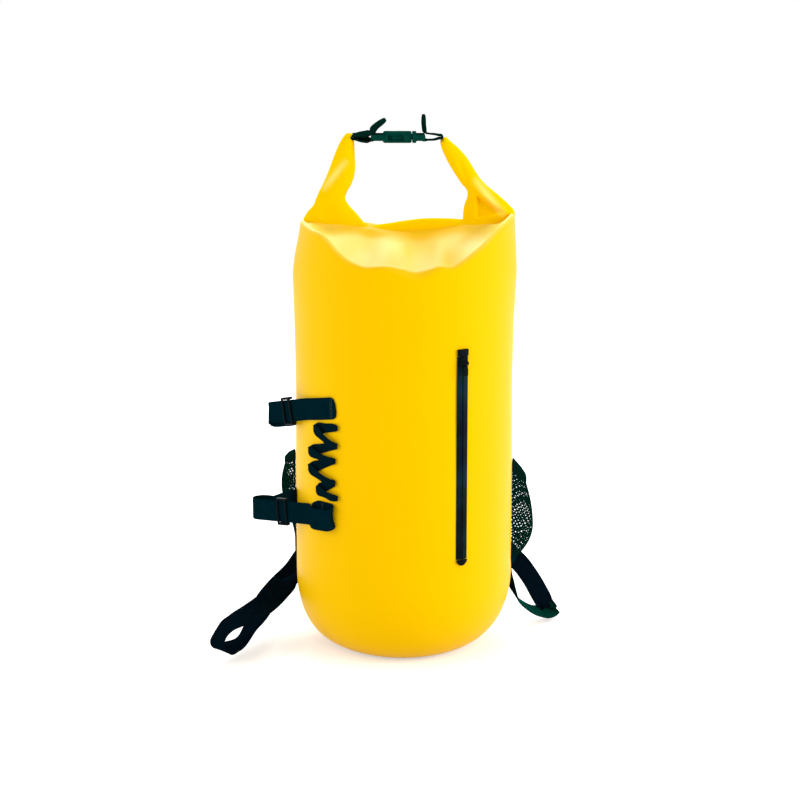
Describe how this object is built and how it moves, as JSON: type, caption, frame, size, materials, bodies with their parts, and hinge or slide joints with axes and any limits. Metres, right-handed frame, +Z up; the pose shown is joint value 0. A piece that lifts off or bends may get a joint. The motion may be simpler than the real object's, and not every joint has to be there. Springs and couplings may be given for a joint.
{
  "type": "roll-top dry bag backpack",
  "caption": "Welded tube bag whose rolled mouth buckles into a carry handle, with a front zip pocket, side straps, mesh pockets and shoulder straps.",
  "frame": {"origin": "middle of the round base, on the surface that the bag stands on", "axes": "+Z up along the bag's axis, the front with the zip faces -Y, the side with the webbing gear straps is -X"},
  "size_m": [0.3944, 0.2854, 0.603],
  "materials": {
    "tarpaulin": "satin vinyl coating over woven polyester",
    "webbing": "flat woven webbing",
    "plastic": "moulded, satin",
    "zip_tape": "coated water-resistant tape, satin",
    "mesh": "open knitted mesh",
    "padding": "padded woven fabric"
  },
  "bodies": {
    "root": {"bag_shell": "tarpaulin", "base_panel": "tarpaulin", "rolled_mouth": "tarpaulin", "mouth_stiffener": "plastic", "left_roll_arm": "tarpaulin", "left_closure_webbing": "webbing", "buckle_socket": "plastic", "zip_left_tape": "zip_tape", "zip_right_tape": "zip_tape", "zip_coil": "plastic", "zip_garage": "plastic", "zip_bottom_stop": "plastic", "zip_pocket_pouch": "tarpaulin", "upper_side_strap": "webbing", "lower_side_strap": "webbing", "side_lacing": "webbing", "left_mesh_pocket": "mesh", "right_mesh_pocket": "mesh", "left_pocket_hem": "webbing", "right_pocket_hem": "webbing", "yoke_patch": "tarpaulin", "left_shoulder_pad": "padding", "right_shoulder_pad": "padding", "left_adjuster_webbing": "webbing", "right_adjuster_webbing": "webbing", "left_anchor_tab": "tarpaulin", "right_anchor_tab": "tarpaulin"},
    "closure_right": {"buckle_plug": "plastic", "right_closure_webbing": "webbing", "right_roll_arm": "tarpaulin"},
    "front_prong": {"buckle_front_prong": "plastic"},
    "rear_prong": {"buckle_rear_prong": "plastic"},
    "zip_slider": {"zip_slider": "plastic"},
    "zip_pull": {"zip_pull": "plastic"},
    "upper_glide": {"upper_tri_glide": "plastic"},
    "lower_glide": {"lower_tri_glide": "plastic"},
    "left_lock": {"left_ladder_lock": "plastic"},
    "right_lock": {"right_ladder_lock": "plastic"}
  },
  "joints": [
    {"name": "buckle_release", "type": "slide", "parent": "root", "child": "closure_right", "axis": [1, 0, 0], "range_m": [0, 0.03]},
    {"name": "front_prong_squeeze", "type": "hinge", "parent": "closure_right", "child": "front_prong", "pos_m": [0.0085, -0.01265, 0.58], "axis": [0, 0, -1], "range_deg": [0, 8], "stiffness_Nm_per_rad": 0.05},
    {"name": "rear_prong_squeeze", "type": "hinge", "parent": "closure_right", "child": "rear_prong", "pos_m": [0.0085, 0.01265, 0.58], "axis": [0, 0, 1], "range_deg": [0, 8], "stiffness_Nm_per_rad": 0.05},
    {"name": "zip_slide", "type": "slide", "parent": "root", "child": "zip_slider", "axis": [0, 0, -1], "range_m": [0, 0.215]},
    {"name": "zip_pull_swing", "type": "hinge", "parent": "zip_slider", "child": "zip_pull", "pos_m": [0.06646, -0.11328, 0.3465], "axis": [-0.8625, -0.506, 0], "range_deg": [0, 150]},
    {"name": "upper_glide_slide", "type": "slide", "parent": "root", "child": "upper_glide", "axis": [-0.7001, 0.6812, -0.214], "range_m": [-0.012, 0.016]},
    {"name": "lower_glide_slide", "type": "slide", "parent": "root", "child": "lower_glide", "axis": [-0.8261, 0.5583, -0.0765], "range_m": [-0.012, 0.016]},
    {"name": "left_lock_tilt", "type": "hinge", "parent": "root", "child": "left_lock", "pos_m": [-0.07068, 0.12752, 0.1492], "axis": [0.8746, 0.4848, 0], "range_deg": [0, 35], "deforming": ["left_adjuster_webbing"]},
    {"name": "right_lock_tilt", "type": "hinge", "parent": "root", "child": "right_lock", "pos_m": [0.07068, 0.12752, 0.1492], "axis": [0.8746, -0.4848, 0], "range_deg": [0, 35], "deforming": ["right_adjuster_webbing"]}
  ],
  "couplings": [
    {"joint": "rear_prong_squeeze", "follows": "front_prong_squeeze", "ratio": 1}
  ]
}
